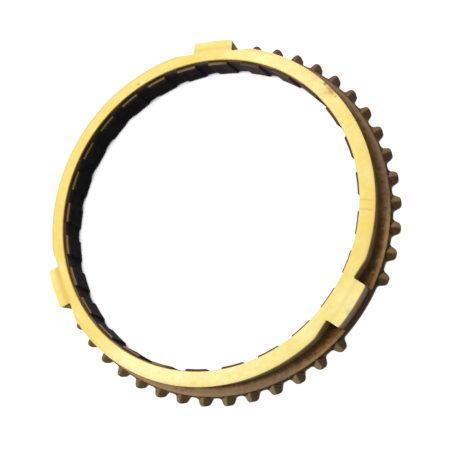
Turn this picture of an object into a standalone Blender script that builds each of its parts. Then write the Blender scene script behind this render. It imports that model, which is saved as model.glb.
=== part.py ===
"""Synchronizer ring of a manual gearbox, modelled as it is made.

A brass blank is turned to one section, flats are milled beside the places of three lugs,
the lugs stand on the neck, and dog teeth with pitched roofs stand on the flange. A black
friction lining with lands and axial grooves is bonded into the tapered bore.

Frame: metres, +Z up. The ring lies on its gear-side face, z = 0, with its axis on Z, and
the face with the lugs looks up. The middle of the first lug is on +Y.
"""

from math import asin, atan2, cos, hypot, pi, radians, sin, tan

import bmesh
import bpy
from mathutils import Matrix

MM = 0.001

# Heights above the gear-side face
HEIGHT = 9.8 * MM
FLANGE_NECK_Z = 2.95 * MM
RIM_Z = 2.65 * MM
ROOT_WALL_Z = 1.8 * MM
TOOTH_RIDGE_Z = 2.25 * MM

# Widths of the turned section, from the bore outwards
LIP_R = 36.5 * MM
FACE_WIDTH = 3.2 * MM
FLANGE_WIDTH = 2.4 * MM
RIM_TAPER = 0.35 * MM
TOOTH_LENGTH = 1.75 * MM
EDGE_BREAK = 0.25 * MM
NECK_FILLET = 1.3 * MM

# Lugs, and the flats milled beside them
LUG_COUNT = 3
LUG_WIDTH = 10.0 * MM
LUG_CORNER = 0.45 * MM
LUG_INSIDE_RIM = 0.45 * MM
FLAT_DEPTH = 1.15 * MM
FLAT_ABOVE_FLANGE = 0.6 * MM

# Dog teeth
TOOTH_PLACES = 48
TEETH_LEFT_OUT_PER_LUG = 2
TOOTH_ROOT_WIDTH = 3.5 * MM
TOOTH_TIP_WIDTH = 1.84 * MM
TOOTH_TIP_CORNER = 1.0 * MM
TOOTH_ROOT_FILLET = 0.5 * MM
ROOF_SLOPE = radians(33)

# Tapered bore and its lining
CONE_ANGLE = radians(11)
GROOVE_ANGLE = radians(12)
LIP_DEPTH = 1.15 * MM
LIP_EDGE = 0.12 * MM
BOND_LINE = 0.3 * MM
LINING_THICKNESS = 0.3 * MM
LINING_SET_BACK = 0.35 * MM
LAND_COUNT = 27
LAND_SHARE = 0.6
LAND_TOP_HEIGHT = 0.52 * MM
LAND_SIDE = 0.3 * MM
LAND_SHIFT = radians(1.86)

# How fine the round forms are cut
TURNED_STEPS = 144
FILLET_STEPS = 5
CORNER_STEPS = 3
LUG_WALL_STEPS = 5
LAND_STEPS = 4
GROOVE_STEPS = 2
SHARP_ANGLE = radians(28)

# How far tools run past the metal, and joined forms sink into it
RUN_OUT = 1.0 * MM
SUNK = 0.15 * MM
TOOTH_SUNK = 0.8 * MM

FACE_R = LIP_R + FACE_WIDTH
RIM_R = FACE_R + FLANGE_WIDTH
ROOT_R = RIM_R + RIM_TAPER
TIP_R = ROOT_R + TOOTH_LENGTH
LUG_R = RIM_R - LUG_INSIDE_RIM
FLAT_R = FACE_R - FLAT_DEPTH
LIP_Z = HEIGHT - LIP_DEPTH
LINING_TOP_Z = LIP_Z - BOND_LINE
FIRST_LUG_ANGLE = radians(90)
LUG_ANGLES = [FIRST_LUG_ANGLE + k * 2 * pi / LUG_COUNT for k in range(LUG_COUNT)]


def clear_scene():
    for thing in list(bpy.data.objects):
        bpy.data.objects.remove(thing, do_unlink=True)


def plain_material(name, colour, metallic, roughness):
    """A Principled material with one plain colour."""
    material = bpy.data.materials.new(name)
    material.use_nodes = True
    shader = material.node_tree.nodes["Principled BSDF"]
    shader.inputs["Base Color"].default_value = (*colour, 1.0)
    shader.inputs["Metallic"].default_value = metallic
    shader.inputs["Roughness"].default_value = roughness
    material.diffuse_color = (*colour, 1.0)
    return material


def put_in_scene(name, bm):
    """Turn a finished bmesh into an object with its faces pointing out."""
    bmesh.ops.recalc_face_normals(bm, faces=bm.faces[:])
    mesh = bpy.data.meshes.new(name)
    bm.to_mesh(mesh)
    bm.free()
    thing = bpy.data.objects.new(name, mesh)
    bpy.context.scene.collection.objects.link(thing)
    return thing


def finish_piece(thing, material):
    """Give a piece its one material and smooth its round walls between sharp edges."""
    thing.data.materials.clear()
    thing.data.materials.append(material)
    for face in thing.data.polygons:
        face.material_index = 0
    thing.data.shade_smooth()
    thing.data.set_sharp_from_angle(angle=SHARP_ANGLE)


def wrap_sections(name, stations):
    """Close a ring from stations of (angle, section), each section (radius, height) points."""
    bm = bmesh.new()
    rows = []
    for angle, section in stations:
        rows.append([bm.verts.new((r * cos(angle), r * sin(angle), z)) for r, z in section])
    for row, following in zip(rows, rows[1:] + rows[:1]):
        for here in range(len(row)):
            there = (here + 1) % len(row)
            bm.faces.new((row[here], row[there], following[there], following[here]))
    return put_in_scene(name, bm)


def prism(bm, outline, low, high):
    """Walls and floor over an outline of (x, y) points; gives back the open top's corners."""
    bottom = [bm.verts.new((x, y, low)) for x, y in outline]
    top = [bm.verts.new((x, y, z)) for (x, y), z in zip(outline, high)]
    bm.faces.new(bottom)
    for here in range(len(outline)):
        there = (here + 1) % len(outline)
        bm.faces.new((bottom[here], bottom[there], top[there], top[here]))
    return top


def spin_copies(name, bm, angles):
    """Copy one shape, drawn along +X, to each angle round the Z axis."""
    pattern = bpy.data.meshes.new(name)
    bm.to_mesh(pattern)
    bm.free()
    joined = bmesh.new()
    for angle in angles:
        first = len(joined.verts)
        joined.from_mesh(pattern)
        joined.verts.ensure_lookup_table()
        turn = Matrix.Rotation(angle, 4, "Z")
        bmesh.ops.transform(joined, matrix=turn, verts=joined.verts[first:])
    bpy.data.meshes.remove(pattern)
    return put_in_scene(name, joined)


def combine(target, tool, operation):
    """Join a tool to the target, or cut it away, with a Boolean that is applied at once."""
    tool.hide_render = True
    tool.display_type = "WIRE"
    change = target.modifiers.new(tool.name, "BOOLEAN")
    change.operation = operation
    change.solver = "EXACT"
    change.object = tool
    evaluated = target.evaluated_get(bpy.context.evaluated_depsgraph_get())
    mesh = bpy.data.meshes.new_from_object(evaluated)
    target.modifiers.clear()
    old = target.data
    target.data = mesh
    bpy.data.meshes.remove(old)
    bpy.data.objects.remove(tool, do_unlink=True)


def arc(centre, radius, start, end, steps):
    """Points of a round corner, from one angle to the other."""
    turns = [start + (end - start) * k / steps for k in range(steps + 1)]
    return [(centre[0] + radius * cos(a), centre[1] + radius * sin(a)) for a in turns]


def groove_radius(z):
    """Radius of the lining between its lands at a height, wider towards the gear."""
    return LIP_R + (LINING_TOP_Z - z) * tan(GROOVE_ANGLE)


def land_radius(z):
    """Radius of the working cone on the lands, which runs a little steeper than the grooves."""
    return LIP_R - LAND_TOP_HEIGHT + (LINING_TOP_Z - z) * tan(CONE_ANGLE)


def lining_back_radius(z):
    """Radius of the lining's outer side at a height."""
    return groove_radius(z) + LINING_THICKNESS


def seat_radius(z):
    """Radius of the brass seat that the lining is bonded to."""
    return lining_back_radius(z) + BOND_LINE


def body_section():
    """Section of the blank as (radius, height), down the outer side and up the bore."""
    fillet_centre = (FACE_R + NECK_FILLET, FLANGE_NECK_Z + NECK_FILLET)
    fillet = arc(fillet_centre, NECK_FILLET, pi, 1.5 * pi, FILLET_STEPS)
    outer = [
        (LIP_R + LIP_EDGE, HEIGHT),
        (FACE_R - EDGE_BREAK, HEIGHT),
        (FACE_R, HEIGHT - EDGE_BREAK),
        *fillet,
        (RIM_R - EDGE_BREAK, RIM_Z),
        (RIM_R, RIM_Z - EDGE_BREAK),
        (ROOT_R, ROOT_WALL_Z),
        (ROOT_R, EDGE_BREAK),
        (ROOT_R - EDGE_BREAK, 0.0),
    ]
    bore = [
        (seat_radius(0.0) + EDGE_BREAK, 0.0),
        (seat_radius(EDGE_BREAK), EDGE_BREAK),
        (seat_radius(LIP_Z), LIP_Z),
        (LIP_R, LIP_Z),
        (LIP_R, HEIGHT - LIP_EDGE),
    ]
    return outer + bore


def turned_blank():
    """The ring as it comes off the lathe."""
    section = body_section()
    turns = [2 * pi * k / TURNED_STEPS for k in range(TURNED_STEPS)]
    return wrap_sections("ring_body", [(angle, section) for angle in turns])


def flat_cutters():
    """Blocks that mill a flat beside each flank of each lug, in one plane for both flanks."""
    near = LUG_WIDTH / 2 - SUNK
    far = (FACE_R ** 2 - FLAT_R ** 2) ** 0.5 + RUN_OUT
    beyond = RIM_R + RUN_OUT
    floor_z = FLANGE_NECK_Z + FLAT_ABOVE_FLANGE
    bm = bmesh.new()
    for side in (-1, 1):
        outline = [(FLAT_R, side * near), (beyond, side * near)]
        outline += [(beyond, side * far), (FLAT_R, side * far)]
        top = prism(bm, outline, floor_z, [HEIGHT + RUN_OUT] * len(outline))
        bm.faces.new(top)
    return spin_copies("flat_cutters", bm, LUG_ANGLES)


def lug_outline():
    """Plan of one lug along +X: parallel flanks, small round corners and a turned wall."""
    half = LUG_WIDTH / 2
    corner_r = LUG_R - LUG_CORNER
    corner_y = half - LUG_CORNER
    corner_x = (corner_r ** 2 - corner_y ** 2) ** 0.5
    swing = asin(corner_y / corner_r)
    wall = arc((0.0, 0.0), LUG_R, -swing, swing, LUG_WALL_STEPS)
    lower = arc((corner_x, -corner_y), LUG_CORNER, -pi / 2, -swing, CORNER_STEPS)
    upper = arc((corner_x, corner_y), LUG_CORNER, swing, pi / 2, CORNER_STEPS)
    inner_x = FLAT_R - SUNK
    inner_swing = atan2(half, inner_x)
    inner = arc((0.0, 0.0), hypot(inner_x, half), inner_swing, -inner_swing, LUG_WALL_STEPS)
    return [*lower, *wall[1:-1], *upper, *inner]


def lugs():
    """The lugs, from inside the flange up to the face."""
    outline = lug_outline()
    bm = bmesh.new()
    low = RIM_Z - EDGE_BREAK - SUNK
    top = prism(bm, outline, low, [HEIGHT] * len(outline))
    bm.faces.new(top)
    return spin_copies("lugs", bm, LUG_ANGLES)


def tooth_angles():
    """Middle of each tooth: every place round the flange but those at the lugs."""
    pitch = 2 * pi / TOOTH_PLACES
    teeth_per_lug = TOOTH_PLACES // LUG_COUNT - TEETH_LEFT_OUT_PER_LUG
    first = (TEETH_LEFT_OUT_PER_LUG + 1) * pitch / 2
    return [lug + first + k * pitch for lug in LUG_ANGLES for k in range(teeth_per_lug)]


def tooth_half_outline():
    """Half of a tooth's plan: root fillet, leaning flank and round tip, from root to tip."""
    root_half = TOOTH_ROOT_WIDTH / 2
    tip_half = TOOTH_TIP_WIDTH / 2
    lean = atan2(root_half - tip_half, TOOTH_LENGTH)

    def flank_y(x, off_flank):
        """Where a line beside the flank, that far outside it, passes a place along X."""
        return root_half + off_flank / cos(lean) - (x - ROOT_R) * tan(lean)

    normal = pi / 2 - lean
    root_x = ROOT_R - SUNK
    fillet_x = root_x + TOOTH_ROOT_FILLET
    fillet_centre = (fillet_x, flank_y(fillet_x, TOOTH_ROOT_FILLET))
    fillet = arc(fillet_centre, TOOTH_ROOT_FILLET, pi, pi + normal, 2)
    tip_x = TIP_R - TOOTH_TIP_CORNER
    tip_centre = (tip_x, flank_y(tip_x, -TOOTH_TIP_CORNER))
    tip = arc(tip_centre, TOOTH_TIP_CORNER, normal, 0.0, CORNER_STEPS)
    return [(ROOT_R - TOOTH_SUNK, fillet_centre[1]), *fillet, *tip]


def teeth():
    """Dog teeth with a pitched roof, whose ridge runs out along the radius."""
    half = tooth_half_outline()
    mirrored = [(x, -y) for x, y in reversed(half)]
    ridge_out = len(half)
    outline = [*half, (TIP_R, 0.0), *mirrored, (half[0][0], 0.0)]
    heights = [TOOTH_RIDGE_Z - abs(y) * tan(ROOF_SLOPE) for x, y in outline]
    bm = bmesh.new()
    top = prism(bm, outline, 0.0, heights)
    bm.faces.new([top[-1], *top[: ridge_out + 1]])
    bm.faces.new([*top[ridge_out:]])
    return spin_copies("teeth", bm, tooth_angles())


def ring_body(brass):
    """The brass ring, from its turned blank to the finished piece."""
    body = turned_blank()
    combine(body, flat_cutters(), "DIFFERENCE")
    combine(body, lugs(), "UNION")
    combine(body, teeth(), "UNION")
    finish_piece(body, brass)


def land_stations():
    """Angles round the bore, each with the radius that the lining has there at a height."""
    pitch = 2 * pi / LAND_COUNT
    side = LAND_SIDE / LIP_R
    land = pitch * LAND_SHARE - side
    groove = pitch - land - 2 * side
    stations = []
    for number in range(LAND_COUNT):
        start = FIRST_LUG_ANGLE - LAND_SHIFT - number * pitch - land / 2
        floor = start + land + side
        stations += [(start + land * k / LAND_STEPS, land_radius) for k in range(LAND_STEPS + 1)]
        stations += [(floor + groove * k / GROOVE_STEPS, groove_radius) for k in range(GROOVE_STEPS + 1)]
    return sorted(stations, key=lambda station: station[0])


def lining_section(inner_radius):
    """Section of the lining on a land or in a groove, from its inner side to its back."""
    top = LINING_TOP_Z
    low = LINING_SET_BACK
    return [
        (inner_radius(top), top),
        (lining_back_radius(top), top),
        (lining_back_radius(low), low),
        (inner_radius(low), low),
    ]


def friction_lining(black):
    """The moulded lining: a thin cone whose lands stand into the bore."""
    stations = [(angle, lining_section(inner_radius)) for angle, inner_radius in land_stations()]
    finish_piece(wrap_sections("friction_lining", stations), black)


def main():
    clear_scene()
    brass = plain_material("machined_brass", (0.80, 0.62, 0.25), 1.0, 0.36)
    black = plain_material("black_friction_lining", (0.017, 0.016, 0.019), 0.0, 0.72)
    ring_body(brass)
    friction_lining(black)


main()
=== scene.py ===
# %% [markdown]
# # A brass synchronizer ring
#
# The real ring sits between a gear and its hub. It is turned and milled from a brass forging:
# a bright flat face with three lugs, a dull brown neck and flange, short dog teeth with a
# pitched roof, and a tapered bore lined with a black friction material that is grooved
# lengthwise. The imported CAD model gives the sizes. This lesson builds finer skins over it,
# with rounded edges, and gives each surface its finish.

from math import asin, atan2, cos, pi, radians, sin, tan

import bpy
import numpy as np
from mathutils import Matrix, Vector


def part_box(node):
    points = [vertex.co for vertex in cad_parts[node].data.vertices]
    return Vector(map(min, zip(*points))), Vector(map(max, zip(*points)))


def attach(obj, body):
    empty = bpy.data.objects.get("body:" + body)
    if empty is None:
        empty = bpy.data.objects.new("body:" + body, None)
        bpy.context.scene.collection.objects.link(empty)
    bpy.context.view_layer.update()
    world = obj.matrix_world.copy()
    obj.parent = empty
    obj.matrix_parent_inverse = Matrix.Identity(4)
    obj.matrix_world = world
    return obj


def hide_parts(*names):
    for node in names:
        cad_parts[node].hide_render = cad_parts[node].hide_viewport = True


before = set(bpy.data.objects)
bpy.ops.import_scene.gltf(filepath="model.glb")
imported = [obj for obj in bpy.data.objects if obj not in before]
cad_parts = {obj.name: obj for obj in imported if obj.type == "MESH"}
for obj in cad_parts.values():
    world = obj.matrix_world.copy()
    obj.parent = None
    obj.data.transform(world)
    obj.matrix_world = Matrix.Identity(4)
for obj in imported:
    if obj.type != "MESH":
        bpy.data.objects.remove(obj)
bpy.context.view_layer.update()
scene = bpy.context.scene
MM = 0.001

# %% [markdown]
# ## The camera
#
# The photograph looks down on the ring from beside one lug, 28 degrees off the ring's axis,
# and it is turned so that another lug is at the top. A camera is easiest to repeat as a
# place, a point that it looks at and a roll about its own line of sight.

# %% Camera
camera_place = Vector((53.224, -29.944, 124.030)) * MM
looked_at = Vector((7.365, -4.306, 9.8)) * MM
camera_roll = radians(58.07)

camera = bpy.data.objects.new("camera", bpy.data.cameras.new("camera"))
scene.collection.objects.link(camera)
scene.camera = camera
camera.data.lens = 45.30
camera.data.sensor_width = 36.0
camera.data.clip_start = 5 * MM

sight = (looked_at - camera_place).normalized()
level_right = sight.cross(Vector((0, 0, 1))).normalized()
level_up = level_right.cross(sight)
camera_up = level_up * cos(camera_roll) + level_right * sin(camera_roll)
camera_right = sight.cross(camera_up)
turned = Matrix((camera_right, camera_up, -sight)).transposed().to_4x4()
camera.matrix_world = Matrix.Translation(camera_place) @ turned
print("camera stands", round((looked_at - camera_place).length / MM, 1), "mm off")

# %% [markdown]
# ## The sizes
#
# The section of the ring is one set of heights and radii. They are the sizes of the CAD
# model, because the skins have to lie on it. Only the height is read from the model.

# %% Heights and radii of the brass
face_z = float(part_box("ring_body")[1][2])
lip_r, neck_r, rim_r, root_r, tip_r = (v * MM for v in (36.5, 39.7, 42.1, 42.45, 44.2))
lug_r, flat_x, lug_half = (v * MM for v in (41.65, 38.55, 5.0))
flange_z, rim_z, root_z, ridge_z = (v * MM for v in (2.95, 2.65, 1.8, 2.25))
neck_fillet, flange_start_r = 1.3 * MM, 41.0 * MM
roof_slope = radians(33)
print("face height in mm:", round(face_z / MM, 3))

# %% [markdown]
# ## Plan outlines
#
# The brass has two outlines seen from above: the neck with its lugs and milled flats, and the
# flange with its teeth. Each repeats round the ring, so half of one lug and half of one tooth
# are drawn along +X, as arcs and lines with the direction that faces away from the metal.
# Every outline is then a radius for each angle, which makes it easy to join to the others.


# %% Draw arcs and lines that know which way is out
def arc_points(centre, radius, start, end, steps, hollow=False):
    """Points of an arc with their outward directions; a hollow arc faces its own centre."""
    angles = np.linspace(start, end, steps + 1)
    ways = np.stack([np.cos(angles), np.sin(angles)], axis=1)
    points = np.array(centre) + radius * ways
    return points, -ways if hollow else ways


def line_points(start, end, steps):
    """Points of a line that runs anticlockwise round the metal, with their outward direction."""
    shares = np.linspace(0, 1, steps + 1)[:, None]
    points = np.array(start) * (1 - shares) + np.array(end) * shares
    run = np.array(end) - np.array(start)
    way = np.array([run[1], -run[0]]) / np.hypot(*run)
    return points, np.tile(way, (steps + 1, 1))


class Outline:
    """Half an outline in order of angle: radius and outward direction for any angle."""

    def __init__(self, *runs):
        points = np.concatenate([run[0] for run in runs])
        ways = np.concatenate([run[1] for run in runs])
        self.angles = np.arctan2(points[:, 1], points[:, 0])
        self.radii = np.hypot(points[:, 0], points[:, 1])
        self.ways = ways

    def at(self, angle):
        """Points at signed angles from the middle, and their outward directions."""
        turn = np.abs(angle)
        side = np.where(angle < 0, -1.0, 1.0)
        radius = np.interp(turn, self.angles, self.radii)
        way_x = np.interp(turn, self.angles, self.ways[:, 0])
        way_y = np.interp(turn, self.angles, self.ways[:, 1]) * side
        size = np.hypot(way_x, way_y)
        points = np.stack([radius * np.cos(angle), radius * np.sin(angle)], axis=1)
        return points, np.stack([way_x / size, way_y / size], axis=1)


# %% Half of the neck's outline: lug wall, corner, flank, flat and neck
lug_corner, flank_foot, flat_blend = (v * MM for v in (0.45, 0.35, 0.3))
corner_y = lug_half - lug_corner
corner_x = ((lug_r - lug_corner) ** 2 - corner_y**2) ** 0.5
lug_swing = asin(corner_y / (lug_r - lug_corner))
foot_centre = (flat_x + flank_foot, lug_half + flank_foot)
flat_end_y = (neck_r**2 - flat_x**2) ** 0.5

neck_outline = Outline(
    arc_points((0, 0), lug_r, 0.0, lug_swing, 8),
    arc_points((corner_x, corner_y), lug_corner, lug_swing, pi / 2, 6),
    line_points((corner_x, lug_half), (flat_x + flank_foot, lug_half), 6),
    arc_points(foot_centre, flank_foot, -pi / 2, -pi, 5, hollow=True),
    line_points((flat_x, lug_half + flank_foot), (flat_x, flat_end_y - flat_blend), 5),
    arc_points((0, 0), neck_r, atan2(flat_end_y + flat_blend, flat_x), pi / 3, 30),
)
print("neck outline has", len(neck_outline.angles), "points in a sixth of the ring")

# %% Half of a tooth's outline: round tip, leaning flank and root fillet
tip_half, root_half, tip_corner = (v * MM for v in (0.92, 1.75, 1.0))
root_fillet, root_sink = 0.75 * MM, 0.06 * MM
tooth_places, teeth_between_lugs = 48, 14
tooth_pitch = 2 * pi / tooth_places
lean = atan2(root_half - tip_half, tip_r - root_r)


def flank_y(x, off_flank):
    """Half width of a tooth at a place along it, or of a line beside its flank."""
    return root_half + off_flank / cos(lean) - (x - root_r) * tan(lean)


tip_centre = (tip_r - tip_corner, flank_y(tip_r - tip_corner, -tip_corner))
fillet_x = root_r - root_sink + root_fillet
fillet_centre = (fillet_x, flank_y(fillet_x, root_fillet))
tip_run = arc_points(tip_centre, tip_corner, 0.0, pi / 2 - lean, 6)
fillet_run = arc_points(fillet_centre, root_fillet, 1.5 * pi - lean, pi, 4, hollow=True)
root_start = atan2(fillet_centre[1], fillet_centre[0] - root_fillet) + radians(0.08)

tooth_outline = Outline(
    line_points((tip_r, 0.0), (tip_r, tip_centre[1]), 2),
    tip_run,
    line_points(tip_run[0][-1], fillet_run[0][0], 3),
    fillet_run,
    arc_points((0, 0), root_r, root_start, tooth_pitch, 4),
)
print("tooth outline has", len(tooth_outline.angles), "points in half a pitch")

# %% [markdown]
# ## Stations round the ring
#
# One list of angles serves the whole skin. It holds every angle at which either outline bends,
# so that corners stay crisp, and no two of them are far apart, so that round walls stay round.
# The ring has room for forty-eight teeth, and two are left out under each lug.

# %% Angles of the stations
lug_angles = [pi / 2 + k * 2 * pi / 3 for k in range(3)]
tooth_angles = [
    lug + 1.5 * tooth_pitch + k * tooth_pitch for lug in lug_angles for k in range(teeth_between_lugs)
]
lug_reach, widest_step, narrowest_step = (radians(v) for v in (16, 0.9, 0.012))


def both_sides(outline, middle, reach):
    """All angles of an outline on both sides of a middle, up to a reach."""
    turns = outline.angles[outline.angles <= reach]
    return np.concatenate([middle - turns, middle + turns])


bends = [both_sides(neck_outline, lug, lug_reach) for lug in lug_angles]
bends += [both_sides(tooth_outline, tooth, tooth_pitch / 2) for tooth in tooth_angles]
evenly = np.arange(0, 2 * pi, widest_step)
stations = np.sort(np.concatenate([*bends, evenly]) % (2 * pi))
stations = stations[np.diff(stations, prepend=stations[-1] - 2 * pi) > narrowest_step]
print(len(stations), "stations")


# %% Angle from each station to the nearest lug or tooth
def nearest(middles):
    """Signed angle from the nearest middle to each station, and that middle."""
    gaps = (stations[:, None] - np.array(middles)[None, :] + pi) % (2 * pi) - pi
    best = np.argmin(np.abs(gaps), axis=1)
    return gaps[np.arange(len(stations)), best], np.array(middles)[best]


def turned_by(points, angle):
    """Plan points turned about the axis, each by its own angle."""
    c, s = np.cos(angle), np.sin(angle)
    x, y = points[:, 0], points[:, 1]
    return np.stack([x * c - y * s, x * s + y * c], axis=1)


from_lug, lug_at = nearest(lug_angles)
from_tooth, tooth_at = nearest(tooth_angles)
neck_points, neck_ways = (turned_by(v, lug_at) for v in neck_outline.at(from_lug))
in_tooth = np.abs(from_tooth) <= tooth_pitch / 2
tooth_turn = np.where(in_tooth, from_tooth, tooth_pitch)
rim_points, rim_ways = tooth_outline.at(tooth_turn)
rim_points = turned_by(rim_points, stations - tooth_turn)
rim_ways = turned_by(rim_ways, stations - tooth_turn)
rays = np.stack([np.cos(stations), np.sin(stations)], axis=1)

# %% [markdown]
# ## Heights of the flange
#
# A wall meets the flange in a hollow fillet, the flange falls a little to its rim, and from the
# rim a short slope drops to the roots of the teeth. Each tooth carries two roof faces that
# meet in a ridge along the radius. Slope and roof are blended softly, as forging leaves them.


# %% Height of the flange and of the tooth roofs
def flange_height(radius, wall_radius):
    """Height of the flange's upper side, with the fillet that starts at a wall."""
    fall = np.clip((radius - flange_start_r) / (rim_r - flange_start_r), 0, 1)
    plain = flange_z + (rim_z - flange_z) * fall
    inside = np.clip(wall_radius + neck_fillet - radius, 0, neck_fillet)
    return plain + neck_fillet - np.sqrt(neck_fillet**2 - inside**2)


def slope_height(radius):
    """Height of the slope between the rim and the roots of the teeth."""
    return rim_z - rim_round - (radius - rim_r) * slope_steepness


def roof_height(points):
    """Height of the tooth roofs over plan points, one for each station."""
    across = np.abs(points[:, 0] * -np.sin(tooth_at) + points[:, 1] * np.cos(tooth_at))
    soft_ridge = np.sqrt(across**2 + ridge_round**2) - ridge_round
    return ridge_z - np.minimum(soft_ridge, roof_reach) * tan(roof_slope)


def softer_of(high, low, blend):
    """The higher of two heights, with a fillet where they cross."""
    gap = np.clip(0.5 + 0.5 * (high - low) / blend, 0, 1)
    return low + (high - low) * gap + blend * gap * (1 - gap)


rim_round, ridge_round, roof_blend, roof_reach = (v * MM for v in (0.22, 0.16, 0.12, 2.4))
slope_steepness = (rim_z - rim_round - root_z) / (root_r - rim_r)
bare_neck = np.minimum(neck_r, flat_x / np.cos(np.clip(np.abs(from_lug), 0, radians(20))))
wall_foot_r = np.hypot(neck_points[:, 0], neck_points[:, 1])
wall_foot_z = flange_height(wall_foot_r, bare_neck)
foot_range = [round(float(z) / MM, 2) for z in (wall_foot_z.min(), wall_foot_z.max())]
print("feet of the walls in mm:", foot_range)

# %% [markdown]
# ## The brass skin
#
# The skin is a closed sleeve. Loops run round the ring, one after another down the outside, in
# under the ring, up the bore and back over the face. Every loop has a point at every station, so
# the mesh is a clean grid of four-sided faces, and an edge is rounded by a few loops that step
# along the quarter circle. A wall's own outward direction sets the step, so flanks round too.

# %% Collect the loops of the brass skin
loops = []


def add_loop(points, height, finish):
    """Keep a loop of plan points at a height, and the finish of the band that follows it."""
    heights = np.broadcast_to(height, (len(stations),))
    loops.append((np.column_stack([points, heights]), finish))


def circle(radius):
    return rays * np.reshape(radius, (-1, 1))


def round_over(points, ways, edge_z, size, steps, finish, downward=True):
    """Loops that round an edge between a level face and a wall that falls from it."""
    order = np.linspace(0, 1, steps + 1)
    for share in order if downward else order[::-1]:
        turn = share * pi / 2
        add_loop(points - ways * size * (1 - sin(turn)), edge_z - size * (1 - cos(turn)), finish)


# %% Face, lug tops and walls
face_edge, lip_edge = 0.2 * MM, 0.12 * MM
inner_face_radii = (37.4 * MM, 38.1 * MM)
FACE, SIDE, LIP = range(3)
add_loop(circle(lip_r + lip_edge), face_z, FACE)
for radius in inner_face_radii:
    add_loop(circle(radius), face_z, FACE)
round_over(neck_points, neck_ways, face_z, face_edge, 4, FACE)
loops[-1] = (loops[-1][0], SIDE)
wall_top_z = face_z - face_edge
for share in (0.3, 0.6, 0.85, 1.0):
    add_loop(neck_points, wall_top_z + (wall_foot_z - wall_top_z) * share, SIDE)

# %% Flange, rim and the slope down to the teeth
for share in (0.04, 0.11, 0.2, 0.31, 0.44, 0.58, 0.74, 0.88):
    radius = wall_foot_r + (rim_r - rim_round - wall_foot_r) * share
    add_loop(circle(radius), flange_height(radius, bare_neck), SIDE)
rim_points_plain = circle(np.full(len(stations), rim_r))
round_over(rim_points_plain, rays, rim_z, rim_round, 4, SIDE)

# %% Tooth roofs, tooth walls and roots
tooth_edge, foot_edge = 0.16 * MM, 0.2 * MM
roof_rim = rim_points - rim_ways * tooth_edge
roof_rim_r = np.hypot(roof_rim[:, 0], roof_rim[:, 1])
meets_roof_r = rim_r + (rim_z - rim_round - roof_height(rim_points)) / slope_steepness
meets = np.clip((meets_roof_r - rim_r) / (roof_rim_r - rim_r), 0.06, 0.85)
beyond = 1 - meets
for share in (meets * 0.55, meets * 0.85, meets, meets + beyond * 0.2, meets + beyond * 0.55):
    at = rim_points_plain + (roof_rim - rim_points_plain) * share[:, None]
    at_r = np.hypot(at[:, 0], at[:, 1])
    add_loop(at, softer_of(slope_height(at_r), roof_height(at), roof_blend), SIDE)
roof_rim_z = softer_of(slope_height(roof_rim_r), roof_height(roof_rim), roof_blend)
for turn in (0, pi / 8, pi / 4, 3 * pi / 8, pi / 2):
    step_in, step_down = tooth_edge * (1 - sin(turn)), tooth_edge * (1 - cos(turn))
    add_loop(rim_points - rim_ways * step_in, roof_rim_z - step_down, SIDE)
add_loop(rim_points, (roof_rim_z - tooth_edge + foot_edge) / 2, SIDE)
for turn in (pi / 2, pi / 4, 0):
    step_in, rise = foot_edge * (1 - sin(turn)), foot_edge * (1 - cos(turn))
    add_loop(rim_points - rim_ways * step_in, rise, SIDE)
print(len(loops), "loops down to the foot")

# %% [markdown]
# ## The bore
#
# The friction lining sits in a conical seat under a short lip of bare brass. The CAD leaves a
# gap of 0.3 mm between the two as its bond line. On the real ring there is no gap to see, so
# the skins of both come within a hundredth or two of a millimetre of each other here.

# %% Underside, seat and lip
groove_angle, cone_angle = radians(11.5), radians(11)
cad_lining_top_z = face_z - 1.45 * MM
lip_z = face_z - 1.3 * MM
seat_depth, foot_chamfer, underside_r = (v * MM for v in (0.6, 0.25, 41.0))


def groove_radius(z):
    """Radius of the lining between its lands."""
    return lip_r + (cad_lining_top_z - z) * tan(groove_angle)


def seat_radius(z):
    """Radius of the brass seat behind the lining."""
    return groove_radius(z) + seat_depth


add_loop(circle(underside_r), 0.0, SIDE)
add_loop(circle(seat_radius(0.0) + foot_chamfer), 0.0, LIP)
for z in (foot_chamfer, 3.0 * MM, 6.0 * MM, lip_z):
    add_loop(circle(seat_radius(z)), z, LIP)
for z in (lip_z, lip_z + 0.6 * MM):
    add_loop(circle(lip_r), z, LIP)
round_over(circle(lip_r), -rays, face_z, lip_edge, 3, LIP, downward=False)
loops.pop()
print(len(loops), "loops in all,", len(loops) * len(stations), "faces")


# %% Wrap the loops in a mesh
def wrap(name, rows, finishes, flip=False):
    """Close loops of points into a sleeve, with one finish number for each band."""
    count, width = len(rows), len(rows[0])
    places = np.concatenate(rows)
    row = np.repeat(np.arange(count), width)
    column = np.tile(np.arange(width), count)
    following_row, following_column = (row + 1) % count, (column + 1) % width
    corners = [
        row * width + column,
        following_row * width + column,
        following_row * width + following_column,
        row * width + following_column,
    ]
    faces = np.stack(corners[::-1] if flip else corners, axis=1)
    mesh = bpy.data.meshes.new(name)
    mesh.from_pydata(places.tolist(), [], faces.tolist())
    mesh.polygons.foreach_set("material_index", np.asarray(finishes, dtype=np.int32))
    mesh.shade_smooth()
    mesh.set_sharp_from_angle(angle=radians(38))
    mesh.update()
    piece = bpy.data.objects.new(name, mesh)
    scene.collection.objects.link(piece)
    return piece


finish_of_band = np.repeat([finish for _, finish in loops], len(stations))
brass_skin = wrap("brass_ring", [points for points, _ in loops], finish_of_band)
loop_radii = [np.hypot(points[:, 0], points[:, 1]) for points, _ in loops]
kept_values = {
    "off_wall": [radii - wall_foot_r for radii in loop_radii],
    "roof_over_slope": [
        roof_height(points) - slope_height(radii) for (points, _), radii in zip(loops, loop_radii)
    ],
}
for name, values in kept_values.items():
    kept = brass_skin.data.attributes.new(name, "FLOAT", "POINT")
    kept.data.foreach_set("value", np.concatenate(values))
print("brass skin has", len(brass_skin.data.polygons), "faces")

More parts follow.
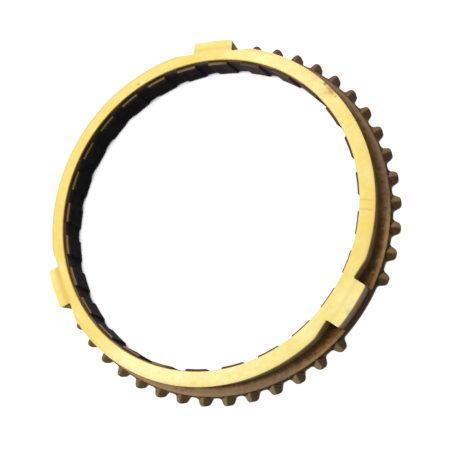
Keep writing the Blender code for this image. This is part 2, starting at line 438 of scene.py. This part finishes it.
# %% [markdown]
# ## The grooved lining
#
# The lining is moulded against the seat, then its lands are cut to the working cone. Seen from
# the face, the ends of the lands show as a row of dull dashes, because the black is scraped off
# them. It is the same kind of sleeve: at each station a share says how far it stands in.

# %% Stations of the lands and grooves
land_count, land_share, land_side = 27, 0.6, 0.42 * MM
land_pitch = 2 * pi / land_count
side_turn = land_side / lip_r
land_turn = land_pitch * land_share - side_turn
groove_turn = land_pitch - land_turn - 2 * side_turn
side_shares = np.linspace(0, 1, 7)
side_heights = 0.5 - 0.5 * np.cos(side_shares * pi)
lining_turns, stands_in = [], []
for number in range(land_count):
    start = pi / 2 - radians(1.86) - number * land_pitch - land_turn / 2
    for share in np.linspace(0, 1, 9)[1:-1]:
        lining_turns.append(start + land_turn * share)
        stands_in.append(1.0)
    for share, height in zip(side_shares, side_heights):
        lining_turns += [start - side_turn * (1 - share), start + land_turn + side_turn * (1 - share)]
        stands_in += [height, height]
    for share in np.linspace(0, 1, 6)[1:-1]:
        lining_turns.append(start + land_turn + side_turn + groove_turn * share)
        stands_in.append(0.0)
order = np.argsort(lining_turns)
lining_turns = np.array(lining_turns)[order]
stands_in = np.array(stands_in)[order]
lining_rays = np.stack([np.cos(lining_turns), np.sin(lining_turns)], axis=1)
print(len(lining_turns), "stations round the lining")

# %% Loops of the lining
skin_gap, land_top_height = 0.02 * MM, 0.54 * MM
lining_top_z, lining_low_z = lip_z - skin_gap, 0.35 * MM
BLACK, LAND_END = range(2)
lining_loops = []


def inner_radius(z):
    """Radius of the lining's inner side at a height, on lands and in grooves."""
    land = lip_r - land_top_height + (lining_top_z - z) * tan(cone_angle)
    return groove_radius(z) + (land - groove_radius(z)) * stands_in


def add_lining_loop(radius, z, finish=BLACK):
    radii = np.broadcast_to(radius, (len(lining_turns),))[:, None]
    heights = np.broadcast_to(z, (len(lining_turns),))
    lining_loops.append((np.column_stack([lining_rays * radii, heights]), finish))


def lining_back(z):
    return seat_radius(z) - skin_gap


top_round, low_round = 0.22 * MM, 0.4 * MM
add_lining_loop(lining_back(lining_top_z), lining_top_z, LAND_END)
add_lining_loop(inner_radius(lining_top_z) + top_round, lining_top_z, LAND_END)
for turn, finish in ((pi / 4, LAND_END), (pi / 2, BLACK)):
    z = lining_top_z - top_round * (1 - cos(turn))
    add_lining_loop(inner_radius(z) + top_round * (1 - sin(turn)), z, finish)
for z in np.linspace(lining_top_z - 0.4 * MM, lining_low_z + low_round, 9):
    add_lining_loop(inner_radius(z), z)
for turn in (pi / 3, pi / 6, 0):
    z = lining_low_z + low_round * (1 - sin(turn))
    add_lining_loop(inner_radius(z) + low_round * (1 - cos(turn)), z)
for z in (lining_low_z, (lining_low_z + lining_top_z) / 2):
    add_lining_loop(lining_back(z), z)
print(len(lining_loops), "loops round the lining")

# %% Wrap the lining
band_finish = [finish for _, finish in lining_loops]
lining_finish = np.repeat(band_finish, len(lining_turns))
on_land = (stands_in > 0.5) & (np.roll(stands_in, -1) > 0.5)
scraped_bands = 3
scraped = slice(0, scraped_bands * len(lining_turns))
lining_finish[scraped] = np.where(np.tile(on_land, scraped_bands), LAND_END, BLACK)
lining_skin = wrap("friction_lining_skin", [p for p, _ in lining_loops], lining_finish, flip=True)
print("lining skin has", len(lining_skin.data.polygons), "faces")

# %% [markdown]
# ## Finishes
#
# A finish is a Principled shader whose colour and roughness come from noise in the object's own
# space, so it stays put from every side. Small helpers keep each recipe readable.


# %% Helpers for finishes
class Finish:
    """A material with one Principled shader, and short ways to add and join nodes."""

    def __init__(self, name):
        self.material = bpy.data.materials.new(name)
        self.material.use_nodes = True
        self.tree = self.material.node_tree
        self.shader = self.tree.nodes["Principled BSDF"]
        self.place = self.tree.nodes.new("ShaderNodeTexCoord").outputs["Object"]

    def node(self, kind, settings=None, **inputs):
        """Add a node, set its options, and feed its inputs with values or other sockets."""
        made = self.tree.nodes.new(kind)
        for option, value in (settings or {}).items():
            setattr(made, option, value)
        for key, value in inputs.items():
            self.feed(made.inputs[key.replace("_", " ")], value)
        return made

    def feed(self, socket, value):
        """Link a socket to another, or set its value."""
        if isinstance(value, bpy.types.NodeSocket):
            self.tree.links.new(value, socket)
        else:
            socket.default_value = value

    def maths(self, operation, first, second=0.0):
        made = self.tree.nodes.new("ShaderNodeMath")
        made.operation = operation
        self.feed(made.inputs[0], first)
        self.feed(made.inputs[1], second)
        return made.outputs[0]

    def product(self, *values):
        """The product of several shares."""
        result = values[0]
        for value in values[1:]:
            result = self.maths("MULTIPLY", result, value)
        return result

    def apart(self, value, middle):
        """How far a value is from a middle, either way."""
        return self.maths("ABSOLUTE", self.maths("SUBTRACT", value, middle))

    def around(self):
        """Distance from the ring's axis, angle round it, and height."""
        parts = self.node("ShaderNodeSeparateXYZ", Vector=self.place)
        x, y, z = (parts.outputs[axis] for axis in "XYZ")
        squares = self.maths("ADD", self.maths("MULTIPLY", x, x), self.maths("MULTIPLY", y, y))
        return self.maths("SQRT", squares), self.maths("ARCTAN2", y, x), z

    def toward(self, angle, direction):
        """A value that is 1 in a direction, given in degrees, and -1 opposite to it."""
        return self.maths("COSINE", self.maths("SUBTRACT", angle, radians(direction)))

    def noise(self, size, detail=3.0, roughness=0.5, where=None):
        """Noise whose blotches have a size in metres."""
        settings = {"Scale": 1 / size, "Detail": detail, "Roughness": roughness}
        made = self.node("ShaderNodeTexNoise", Vector=where or self.place, **settings)
        return made.outputs["Fac"]

    def spread(self, value, low, high, to_low=0.0, to_high=1.0):
        """Stretch a range of a value to another range, held at its ends."""
        made = self.tree.nodes.new("ShaderNodeMapRange")
        for socket, given in zip(made.inputs, (value, low, high, to_low, to_high)):
            self.feed(socket, given)
        return made.outputs["Result"]

    def mix(self, share, first, second, kind="MIX"):
        """Mix two colours by a share."""
        made = self.tree.nodes.new("ShaderNodeMix")
        made.data_type = "RGBA"
        made.blend_type = kind
        self.feed(made.inputs["Factor"], share)
        self.feed(made.inputs["A"], first)
        self.feed(made.inputs["B"], second)
        return made.outputs["Result"]

    def blend(self, value, low, high, first, second, most=1.0):
        """Mix two colours by a value that is stretched from low to high."""
        return self.mix(self.spread(value, low, high, 0.0, most), first, second)

    def bump(self, height, distance, strength=1.0):
        made = self.node("ShaderNodeBump", Height=height, Distance=distance, Strength=strength)
        self.feed(self.shader.inputs["Normal"], made.outputs["Normal"])

    def set(self, **inputs):
        for key, value in inputs.items():
            self.feed(self.shader.inputs[key.replace("_", " ")], value)


def paint(red, green, blue):
    """A colour given as it looks on screen, 0 to 255, as Blender's linear values."""
    shares = [v / 255 for v in (red, green, blue)]
    linear = [v / 12.92 if v <= 0.04045 else ((v + 0.055) / 1.055) ** 2.4 for v in shares]
    return (*linear, 1.0)


# %% [markdown]
# ### Bright turned face
#
# The face is the last surface to be turned, so it is the only bright one. Fine rings from the
# tool catch the light. The colour passes from deep to pale yellow round the ring. It is paler on
# two opposite sides, which is a painted bow-tie highlight of the turning, and patches of tone
# wander over it. Rings are made from noise that is read by radius alone. Handling has left
# marks: stains at the outer edge, a dent, two faint scratches across the face, a tint where the
# neck's circle runs on over each lug, and a deeper golden band on one of them.

# %% Radius and angle on the face
face_finish = Finish("turned_brass_face")
from_axis, round_angle, _ = face_finish.around()
slow_angle = face_finish.maths("MULTIPLY", round_angle, 0.002)
by_radius = face_finish.node("ShaderNodeCombineXYZ", X=from_axis, Y=slow_angle).outputs["Vector"]
tool_rings = face_finish.noise(0.12 * MM, detail=2.0, where=by_radius)


# %% Yellow with a painted bow-tie highlight round the ring
def near_point(radius, angle, reach, soft):
    """A share that is 1 round a point of the face, given in mm and degrees, and falls to 0."""
    point = (radius * MM * cos(radians(angle)), radius * MM * sin(radians(angle)), face_z)
    away = face_finish.node("ShaderNodeVectorMath", {"operation": "DISTANCE"})
    face_finish.feed(away.inputs[0], face_finish.place)
    face_finish.feed(away.inputs[1], point)
    return face_finish.spread(away.outputs["Value"], reach * MM, (reach + soft) * MM, 1.0, 0.0)


# Paler on two opposite sides of the face: a painted bow-tie highlight of the turning.
twice_round = face_finish.maths("MULTIPLY", round_angle, 2.0)
bowtie_highlight_place = face_finish.toward(twice_round, 134)
highlight_and_tone_share = face_finish.spread(bowtie_highlight_place, -1.0, 1.0, 0.05, 0.55)
for radius, angle, reach, soft, change in (
    (38.1, 64.0, 5.0, 7.0, 0.2),
    (39.0, 92.0, 8.0, 7.0, -0.15),
    (38.1, -104.0, 5.0, 7.0, 0.45),
    (38.1, -62.0, 11.0, 8.0, 0.35),
    (40.8, -30.0, 2.5, 4.0, 0.45),
    (38.6, 164.0, 3.0, 7.0, 0.15),
    (38.1, -168.0, 5.0, 8.0, -0.25),
    (38.6, -136.0, 6.0, 8.0, -0.45),
    (40.6, 210.0, 2.5, 4.0, 0.1),
):
    added = face_finish.product(near_point(radius, angle, reach, soft), change)
    highlight_and_tone_share = face_finish.maths("ADD", highlight_and_tone_share, added)
blotches = face_finish.noise(6 * MM, detail=4.0, roughness=0.6)
highlight_and_tone_share = face_finish.maths("ADD", highlight_and_tone_share, face_finish.spread(blotches, 0.3, 0.7, -0.3, 0.3))
yellow = face_finish.blend(highlight_and_tone_share, 0.0, 1.0, paint(243, 216, 116), paint(250, 246, 182))
speckle = face_finish.noise(1.0 * MM, detail=3.0)
yellow = face_finish.blend(speckle, 0.45, 0.75, yellow, paint(236, 198, 100), 0.3)
yellow = face_finish.blend(tool_rings, 0.35, 0.7, yellow, paint(222, 188, 104), 0.16)

# %% Marks of handling
off_neck_circle = face_finish.apart(from_axis, 39.55 * MM)
tint_line = face_finish.spread(off_neck_circle, 0.1 * MM, 0.75 * MM, 1.0, 0.0)
tint_side = face_finish.spread(face_finish.toward(round_angle, 160), -0.5, 0.4, 0.45, 1.0)
tint_breaks = face_finish.spread(blotches, 0.35, 0.65, 0.2, 0.65)
tint_share = face_finish.product(tint_line, tint_side, tint_breaks)
yellow = face_finish.mix(tint_share, yellow, paint(226, 184, 88))

stain_cloud = face_finish.spread(face_finish.noise(1.2 * MM, detail=4.0, roughness=0.7), 0.38, 0.6)
stain_spots = face_finish.spread(face_finish.noise(0.45 * MM, detail=3.0), 0.56, 0.66)
near_stain = near_point(39.3, 42.0, 0.3, 2.2)
cloud_share = face_finish.product(near_stain, stain_cloud, 0.75)
yellow = face_finish.mix(cloud_share, yellow, paint(190, 136, 58))
spots_share = face_finish.product(near_stain, stain_spots, 0.25)
yellow = face_finish.mix(spots_share, yellow, paint(96, 64, 30))
band_r = 38.95
band = face_finish.product(
    face_finish.spread(face_finish.apart(from_axis, band_r * MM), 0.1 * MM, 0.85 * MM, 1.0, 0.0),
    near_point(band_r, 210.0, 4.0, 2.5),
    face_finish.spread(blotches, 0.35, 0.65, 0.7, 1.0),
)
yellow = face_finish.mix(band, yellow, paint(224, 188, 84))
uneven = face_finish.spread(stain_spots, 0.0, 1.0, 0.75, 1.0)
for radius, angle, reach, soft, share, stain in (
    (39.5, 44.6, 0.2, 0.4, 0.9, paint(110, 74, 34)),
    (39.1, 40.8, 0.2, 0.5, 0.8, paint(190, 138, 56)),
    (41.4, -31.9, 0.2, 0.6, 0.5, paint(206, 160, 84)),
    (39.2, 41.2, 0.5, 1.1, 0.3, paint(206, 162, 84)),
    (39.1, 38.6, 0.05, 0.4, 0.6, paint(170, 138, 66)),
    (39.1, 43.0, 0.05, 0.5, 0.4, paint(196, 160, 84)),
    (39.0, 48.2, 0.3, 0.8, 0.3, paint(206, 182, 84)),
    (38.95, 45.9, 0.1, 0.6, 0.35, paint(206, 176, 84)),
    (38.9, -85.1, 0.1, 0.7, 0.35, paint(214, 176, 90)),
    (38.2, -72.6, 0.1, 0.6, 0.35, paint(226, 176, 96)),
):
    spot = face_finish.product(near_point(radius, angle, reach, soft), uneven, share)
    yellow = face_finish.mix(spot, yellow, stain)
dent = face_finish.product(near_point(37.46, 121.2, 0.12, 0.35), 0.55)
yellow = face_finish.mix(dent, yellow, paint(120, 100, 60))

wander = face_finish.spread(face_finish.noise(1.5 * MM), 0.3, 0.7, -0.006, 0.006)
inner_part = face_finish.spread(from_axis, 39.0 * MM, 39.4 * MM, 1.0, 0.0)
for angle in (1.85, -1.35):
    off_line = face_finish.apart(face_finish.maths("ADD", round_angle, wander), radians(angle))
    line = face_finish.product(face_finish.spread(off_line, 0.001, 0.008, 0.45, 0.0), inner_part)
    yellow = face_finish.mix(line, yellow, paint(206, 168, 84))

face_finish.set(Base_Color=yellow, Metallic=0.6)
face_finish.set(Roughness=face_finish.spread(blotches, 0.3, 0.7, 0.26, 0.36))
face_finish.bump(tool_rings, 0.003 * MM, 0.5)
print("face finish has", len(face_finish.tree.nodes), "nodes")

# %% [markdown]
# ### Dull sides
#
# Neck, flange and teeth keep the brown skin of the forging. The rim of the flange is dull. Beside
# the nearest lug it is rubbed to copper and carries a painted highlight along its edge, and
# towards the bottom of the ring it is painted lighter, as light. The tooth roofs are a dull olive
# brown. Faces that look up are painted in the lit colours, and tilted and upright faces darker,
# as shade. The milled flanks of the lugs are painted yellower and lighter, partly for their bare
# milled brass and partly as light. The outer walls of the lugs fade from a lit brown at the top
# to a painted shade at the foot. Round the nearest lug the walls brighten towards the face with
# a painted sheen. Grime and painted shade fill the hollow at the foot of the walls. Direction,
# radius and height tell these places apart. Two more values are kept by the mesh as attributes
# of its points: the distance from the foot of the wall, and how far a roof stands above the
# slope. Noise breaks all of it up.

# %% Directions and noises for the sides
side_finish = Finish("aged_brass_sides_with_painted_light")
geometry = side_finish.node("ShaderNodeNewGeometry")
looks_up = side_finish.node("ShaderNodeSeparateXYZ", Vector=geometry.outputs["Normal"]).outputs["Z"]
from_axis, round_angle, height = side_finish.around()
slow_angle = side_finish.maths("MULTIPLY", round_angle, 0.012)
along_rim = side_finish.node("ShaderNodeCombineXYZ", X=from_axis, Y=slow_angle, Z=height)
along_rim = along_rim.outputs["Vector"]
streaks = side_finish.noise(0.5 * MM, detail=3.0, roughness=0.6, where=along_rim)
mottle = side_finish.noise(2.2 * MM, detail=5.0, roughness=0.65)
grain = side_finish.noise(0.4 * MM, detail=4.0, roughness=0.7)
speckle = side_finish.noise(0.9 * MM, detail=3.0, roughness=0.75)

# %% Colours of the sides
# Grime and painted shade for the hollow and for tilted and upright faces.
grime_and_shade = side_finish.blend(mottle, 0.3, 0.7, paint(56, 39, 22), paint(94, 70, 42))
roof_brown = side_finish.blend(grain, 0.3, 0.7, paint(98, 81, 54), paint(148, 124, 84))
roof_brown = side_finish.blend(mottle, 0.45, 0.75, roof_brown, paint(120, 92, 64))
neck_brown = side_finish.blend(mottle, 0.3, 0.7, paint(98, 75, 43), paint(130, 101, 62))
# Lug walls: a shaded brown for the foot and a lit brown for the top, painted shade and light.
lug_shaded = side_finish.blend(streaks, 0.3, 0.7, paint(74, 56, 50), paint(96, 75, 66))
lug_lit = side_finish.blend(streaks, 0.3, 0.7, paint(116, 86, 62), paint(146, 112, 80))
lug_brown = side_finish.blend(height, 3.0 * MM, 8.0 * MM, lug_shaded, lug_lit)
dull_rim = side_finish.blend(streaks, 0.3, 0.7, paint(122, 97, 72), paint(166, 138, 104))
dull_rim = side_finish.blend(mottle, 0.4, 0.7, dull_rim, paint(140, 118, 74))
dull_rim = side_finish.blend(speckle, 0.45, 0.7, dull_rim, paint(98, 74, 50))
copper = side_finish.blend(streaks, 0.3, 0.7, paint(168, 116, 66), paint(210, 160, 98))
copper = side_finish.blend(speckle, 0.42, 0.66, copper, paint(136, 90, 48))

# %% Copper and a painted highlight where the rim is rubbed most
toward_rub_and_highlight, toward_dull, toward_olive, toward_lit_bottom, toward_sheen = (
    side_finish.toward(round_angle, direction) for direction in (-27, 45, -45, -92, -35)
)
dull_rim = side_finish.blend(toward_dull, 0.3, 0.9, dull_rim, paint(114, 88, 76), 0.6)
# Lighter towards the bottom of the ring: painted light.
dull_rim = side_finish.blend(toward_lit_bottom, 0.6, 0.95, dull_rim, paint(160, 134, 102), 0.5)
roof_brown = side_finish.blend(toward_olive, 0.75, 0.95, roof_brown, paint(124, 111, 86), 0.5)
roof_brown = side_finish.blend(toward_dull, 0.6, 0.95, roof_brown, paint(108, 82, 68), 0.55)
# Copper beside the nearest lug: rubbed brass with a painted highlight.
rubbed_and_highlight_share = side_finish.product(
    side_finish.spread(toward_rub_and_highlight, 0.86, 0.95),
    side_finish.spread(mottle, 0.25, 0.6, 0.4, 1.0),
)
rim_colour = side_finish.mix(rubbed_and_highlight_share, dull_rim, copper)
# A painted highlight along the rounded edge of the rim.
rim_highlight = side_finish.product(
    side_finish.spread(from_axis, 41.2 * MM, 41.55 * MM, 0.0, 0.55),
    side_finish.spread(from_axis, 41.85 * MM, 42.05 * MM, 1.0, 0.3),
    side_finish.spread(toward_rub_and_highlight, 0.85, 0.97, 0.15, 1.0),
)
rim_colour = side_finish.mix(rim_highlight, rim_colour, paint(224, 186, 132))

# %% Where each colour lies
over_slope, off_wall = (
    side_finish.node("ShaderNodeAttribute", {"attribute_name": kept_name}).outputs["Fac"]
    for kept_name in ("roof_over_slope", "off_wall")
)
on_roof = side_finish.spread(over_slope, -0.06 * MM, 0.06 * MM)
ragged = side_finish.maths("ADD", off_wall, side_finish.spread(mottle, 0.3, 0.7, -0.25 * MM, 0.25 * MM))
# Towards the bottom of the ring the dark of the hollow is painted narrower, as light.
ragged = side_finish.maths("ADD", ragged, side_finish.spread(toward_lit_bottom, 0.6, 0.95, 0.0, 0.5 * MM))
inner_brown = side_finish.blend(grain, 0.3, 0.7, paint(98, 71, 45), paint(130, 99, 66))
inner_brown = side_finish.blend(speckle, 0.45, 0.7, inner_brown, paint(72, 50, 28))
rim_colour = side_finish.blend(ragged, 0.9 * MM, 1.6 * MM, inner_brown, rim_colour)
# Faces that look up and lie away from the walls take the lit colour. Tilted faces and the hollow take
# grime and painted shade.
flat_lit_share = side_finish.product(
    side_finish.spread(looks_up, 0.5, 0.85),
    side_finish.spread(ragged, 0.35 * MM, 1.2 * MM),
    side_finish.spread(from_axis, 42.12 * MM, 42.3 * MM, 1.0, 0.0),
)
roof_lit_share = side_finish.spread(looks_up, 0.66, 0.8)
lit_and_clean_share = side_finish.mix(on_roof, flat_lit_share, roof_lit_share)
lit_and_clean_brown = side_finish.mix(on_roof, rim_colour, roof_brown)
sides = side_finish.mix(lit_and_clean_share, grime_and_shade, lit_and_clean_brown)
wall_share = side_finish.spread(looks_up, 0.15, 0.4, 1.0, 0.0)
above_hollow = side_finish.spread(height, 3.6 * MM, 5.4 * MM)
beyond_neck = side_finish.spread(from_axis, 41.3 * MM, 41.5 * MM)
above_flange = side_finish.spread(height, 2.7 * MM, 3.2 * MM)
neck_share = side_finish.product(wall_share, above_hollow)
sides = side_finish.mix(neck_share, sides, neck_brown)
# The lug flanks are painted yellower and lighter: bare milled brass, and painted light.
flank_brown = side_finish.blend(streaks, 0.3, 0.7, paint(130, 102, 54), paint(162, 130, 74))
beyond_arc = side_finish.spread(from_axis, 39.75 * MM, 39.9 * MM)
on_flank = side_finish.product(neck_share, beyond_arc)
sides = side_finish.mix(on_flank, sides, flank_brown)
# The narrow ledge at the foot of the lug walls is painted darker: grime and painted shade.
by_wall = side_finish.spread(off_wall, 0.5 * MM, 0.6 * MM, 1.0, 0.0)
on_ledge = side_finish.product(beyond_neck, by_wall)
sides = side_finish.mix(on_ledge, sides, paint(96, 74, 56))
lug_share = side_finish.product(wall_share, beyond_neck, above_flange)
sides = side_finish.mix(lug_share, sides, lug_brown)
# A painted sheen brightens the top of the walls beside the nearest lug.
height_noise = side_finish.spread(mottle, 0.3, 0.7, -0.3 * MM, 0.3 * MM)
sheen_height = side_finish.maths("ADD", height, height_noise)
sheen = side_finish.product(
    wall_share,
    side_finish.spread(toward_sheen, 0.74, 0.93),
    side_finish.spread(sheen_height, 7.8 * MM, 9.8 * MM, 0.0, 0.4),
)
sides = side_finish.mix(sheen, sides, paint(238, 210, 132))
side_finish.set(Base_Color=sides, Metallic=0.1, Specular_IOR_Level=0.05)
side_finish.set(Roughness=side_finish.spread(grain, 0.3, 0.7, 0.42, 0.6))
relief = side_finish.maths("ADD", mottle, side_finish.maths("MULTIPLY", grain, 0.5))
side_finish.bump(relief, 0.05 * MM, 0.5)
print("side finish has", len(side_finish.tree.nodes), "nodes")

# %% Lip of the bore
lip_finish = Finish("shaded_brass_lip")
lip_stain = lip_finish.noise(2.0 * MM, detail=3.0)
_, lip_angle, lip_height = lip_finish.around()
toward_shade = lip_finish.toward(lip_angle, 138)
lip_dark = lip_finish.mix(lip_stain, paint(34, 23, 9), paint(52, 37, 15))
lip_plain = lip_finish.mix(lip_stain, paint(84, 64, 24), paint(118, 94, 42))
lip_low = lip_finish.blend(toward_shade, 0.2, 0.95, lip_plain, lip_dark)
lip_high = lip_finish.blend(toward_shade, 0.6, 1.0, paint(236, 206, 116), paint(186, 156, 78))
lip_colour = lip_finish.blend(lip_height, 9.4 * MM, 9.8 * MM, lip_low, lip_high)
lip_finish.set(Base_Color=lip_colour, Metallic=0.5, Specular_IOR_Level=0.2)
lip_finish.set(Roughness=lip_finish.spread(lip_stain, 0.3, 0.7, 0.45, 0.6))
print("lip finish has", len(lip_finish.tree.nodes), "nodes")

# %% [markdown]
# ### Friction lining
#
# The lining is a matt black moulding with fine turning marks round the cone, as far apart as
# the tool's feed. It is dusty, and lighter near its top, partly for dust and partly because it
# is painted darker lower down, as shade. It is brownish on one side, and painted blacker on
# another, as shade. The ends of the lands are scraped to a dull brass brown, and painted darker
# again over half of the ring, as shade. At one side they are painted dark where the lip shades
# them.

# %% Black lining and its scraped land ends
black_finish = Finish("matt_black_lining")
_, lining_angle, height = black_finish.around()
feed = 0.45 * MM
feed_marks = black_finish.maths("SINE", black_finish.product(height, 2 * pi / feed))
dust = black_finish.noise(2.5 * MM, detail=4.0, roughness=0.6)
dust_share = black_finish.spread(dust, 0.35, 0.75)
# The side of the lining that faces away from the light is painted blacker, as shade.
toward_lining_shade = black_finish.toward(lining_angle, 145)
toward_brown = black_finish.toward(lining_angle, 65)
dusty = black_finish.mix(dust_share, paint(14, 7, 14), paint(35, 23, 31))
shaded_black = black_finish.mix(dust_share, paint(3, 2, 3), paint(11, 8, 10))
brown_dust = black_finish.mix(dust_share, paint(40, 30, 30), paint(64, 50, 48))
lining_black = black_finish.blend(toward_lining_shade, 0.2, 0.85, dusty, shaded_black)
lining_black = black_finish.blend(toward_brown, 0.9, 0.98, lining_black, brown_dust)
# Lighter near the top, dust and painted shade below.
lining_black = black_finish.blend(height, 6.6 * MM, 8.3 * MM, lining_black, paint(54, 42, 36))
black_finish.set(Base_Color=lining_black, Specular_IOR_Level=0.03)
black_finish.set(Roughness=black_finish.spread(dust, 0.3, 0.7, 0.6, 0.8))
black_finish.bump(feed_marks, 0.012 * MM, 0.5)

land_end_finish = Finish("scraped_land_ends")
scrape = land_end_finish.noise(0.6 * MM, detail=3.0)
end_radius, end_angle, _ = land_end_finish.around()
# The land ends on the near half of the ring are painted darker, as shade.
toward_lit_ends = land_end_finish.toward(end_angle, 174)
toward_low = land_end_finish.toward(end_angle, 236)
bare = land_end_finish.mix(scrape, paint(122, 98, 62), paint(160, 132, 88))
shaded_land_end = land_end_finish.mix(scrape, paint(74, 58, 46), paint(102, 82, 66))
land_ends = land_end_finish.blend(toward_lit_ends, 0.0, 0.05, shaded_land_end, bare)
# Painted shade on the land ends close under the lip.
shade_under_lip = land_end_finish.product(
    land_end_finish.spread(end_radius, 36.12 * MM, 36.25 * MM, 0.0, 0.85),
    land_end_finish.spread(toward_low, 0.92, 0.975),
)
land_ends = land_end_finish.mix(shade_under_lip, land_ends, paint(42, 30, 18))
land_end_finish.set(Base_Color=land_ends, Metallic=0.3)
land_end_finish.set(Roughness=land_end_finish.spread(scrape, 0.3, 0.7, 0.5, 0.7))
print("lining finishes have", len(black_finish.tree.nodes) + len(land_end_finish.tree.nodes), "nodes")

# %% Put the finishes on the skins
for finish in (face_finish, side_finish, lip_finish):
    brass_skin.data.materials.append(finish.material)
for finish in (black_finish, land_end_finish):
    lining_skin.data.materials.append(finish.material)
for skin, node, slot in (
    (brass_skin, "ring_body", "machined_brass"),
    (lining_skin, "friction_lining", "black_friction_lining"),
):
    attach(skin, "root")
    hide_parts(node)

# %% [markdown]
# ## Floor and light
#
# The photograph has a pure white ground. The floor is a plain pale sheet: most of its white is
# its own glow, seen by the camera and in reflections only, and the rest is lit, so that it
# still takes a soft shadow. The glow fades close under the bore's wall, where next to no light
# comes in, because the photograph is dark there too. The room is white in the same way: the
# camera and the reflections see a white wall, and the light that it gives off is dim. The
# light comes from soft lamps. A large one hangs high up. Two small ones stand low at the top
# and at the left of the picture. Each of them reaches the teeth along the rim, where the neck
# doesn't shade them, and parts their two roof faces into light and dark. The lamps aren't seen
# in reflections, because they would burn a spot into the bright face.

# %% White room that gives off little light
room_light, seen_white = 0.09, 1.0
world = bpy.data.worlds.new("white_room")
scene.world = world
world.use_nodes = True
room_nodes, room_links = world.node_tree.nodes, world.node_tree.links
dim_light = room_nodes["Background"]
dim_light.inputs["Color"].default_value = (1.0, 1.0, 1.0, 1.0)
dim_light.inputs["Strength"].default_value = room_light
white_wall = room_nodes.new("ShaderNodeBackground")
white_wall.inputs["Color"].default_value = (1.0, 1.0, 1.0, 1.0)
white_wall.inputs["Strength"].default_value = seen_white
ray_kind = room_nodes.new("ShaderNodeLightPath")
seen_wall = room_nodes.new("ShaderNodeMath")
seen_wall.operation = "MAXIMUM"
room_links.new(ray_kind.outputs["Is Camera Ray"], seen_wall.inputs[0])
room_links.new(ray_kind.outputs["Is Glossy Ray"], seen_wall.inputs[1])
room_mix = room_nodes.new("ShaderNodeMixShader")
room_links.new(seen_wall.outputs[0], room_mix.inputs["Fac"])
room_links.new(dim_light.outputs["Background"], room_mix.inputs[1])
room_links.new(white_wall.outputs["Background"], room_mix.inputs[2])
room_links.new(room_mix.outputs["Shader"], room_nodes["World Output"].inputs["Surface"])

# %% Floor that the camera sees white
half_floor, floor_z = 1.5, -0.05 * MM
corner_sides = ((-1, -1), (1, -1), (1, 1), (-1, 1))
floor_corners = [(x * half_floor, y * half_floor, floor_z) for x, y in corner_sides]
floor_mesh = bpy.data.meshes.new("floor")
floor_mesh.from_pydata(floor_corners, [], [(0, 1, 2, 3)])
floor = bpy.data.objects.new("floor", floor_mesh)
scene.collection.objects.link(floor)

floor_finish = Finish("pale_floor")
floor_finish.set(Base_Color=(0.8, 0.8, 0.8, 1.0), Roughness=0.9, Specular_IOR_Level=0.0)
ray_kind = floor_finish.node("ShaderNodeLightPath")
camera_ray, glossy_ray = (ray_kind.outputs[kind] for kind in ("Is Camera Ray", "Is Glossy Ray"))
seen = floor_finish.maths("MAXIMUM", camera_ray, glossy_ray)
overhead = floor_finish.node("ShaderNodeAmbientOcclusion", {"samples": 16}, Distance=12.0 * MM)
_, floor_angle, _ = floor_finish.around()
toward_corner = floor_finish.toward(floor_angle, 145)
fade_start = floor_finish.spread(toward_corner, 0.75, 0.92, 0.27, 0.31)
fade_end = floor_finish.spread(toward_corner, 0.75, 0.92, 0.34, 0.38)
full_glow, glow_share = 1.14, 0.88
under_nothing = floor_finish.spread(overhead.outputs["AO"], fade_start, fade_end, 0.0, full_glow)
glow = floor_finish.node("ShaderNodeEmission", Color=(1.0, 1.0, 1.0, 1.0), Strength=under_nothing)
white_sheet = floor_finish.tree.nodes.new("ShaderNodeMixShader")
floor_finish.feed(white_sheet.inputs["Fac"], floor_finish.product(seen, glow_share))
floor_finish.feed(white_sheet.inputs[1], floor_finish.shader.outputs["BSDF"])
floor_finish.feed(white_sheet.inputs[2], glow.outputs["Emission"])
floor_output = floor_finish.tree.nodes["Material Output"]
floor_finish.feed(floor_output.inputs["Surface"], white_sheet.outputs["Shader"])
floor.data.materials.append(floor_finish.material)
print("floor is", 2 * half_floor, "m wide")


# %% Soft lamps
def add_softbox(name, radiance, size, distance, azimuth, height_angle):
    """A round softbox that looks at the ring from a direction given in degrees."""
    lamp_data = bpy.data.lights.new(name, "AREA")
    lamp_data.shape = "DISK"
    lamp_data.size = size
    disc_area = pi * (size / 2) ** 2
    lamp_data.energy = radiance * pi * disc_area
    lamp = bpy.data.objects.new(name, lamp_data)
    lamp.visible_glossy = False
    scene.collection.objects.link(lamp)
    turn, rise = radians(azimuth), radians(height_angle)
    way = Vector((cos(turn) * cos(rise), sin(turn) * cos(rise), sin(rise)))
    lamp.location = way * distance
    lamp.rotation_mode = "QUATERNION"
    lamp.rotation_quaternion = way.to_track_quat("Z", "Y")
    print(name, "stands at", [round(v, 3) for v in lamp.location])


add_softbox("high_softbox", 0.59, 1.12, 0.8, 155, 66)
add_softbox("low_softbox_above", 15.8, 0.47, 0.9, 90, 28)
add_softbox("low_softbox_left", 15.8, 0.47, 0.9, 213, 28)

# %% [markdown]
# ## Finish
#
# The colours are shown as they are, with the Standard view transform. The skins must not
# be bigger than the CAD model.

# %% Standard view transform
scene.view_settings.view_transform = "Standard"
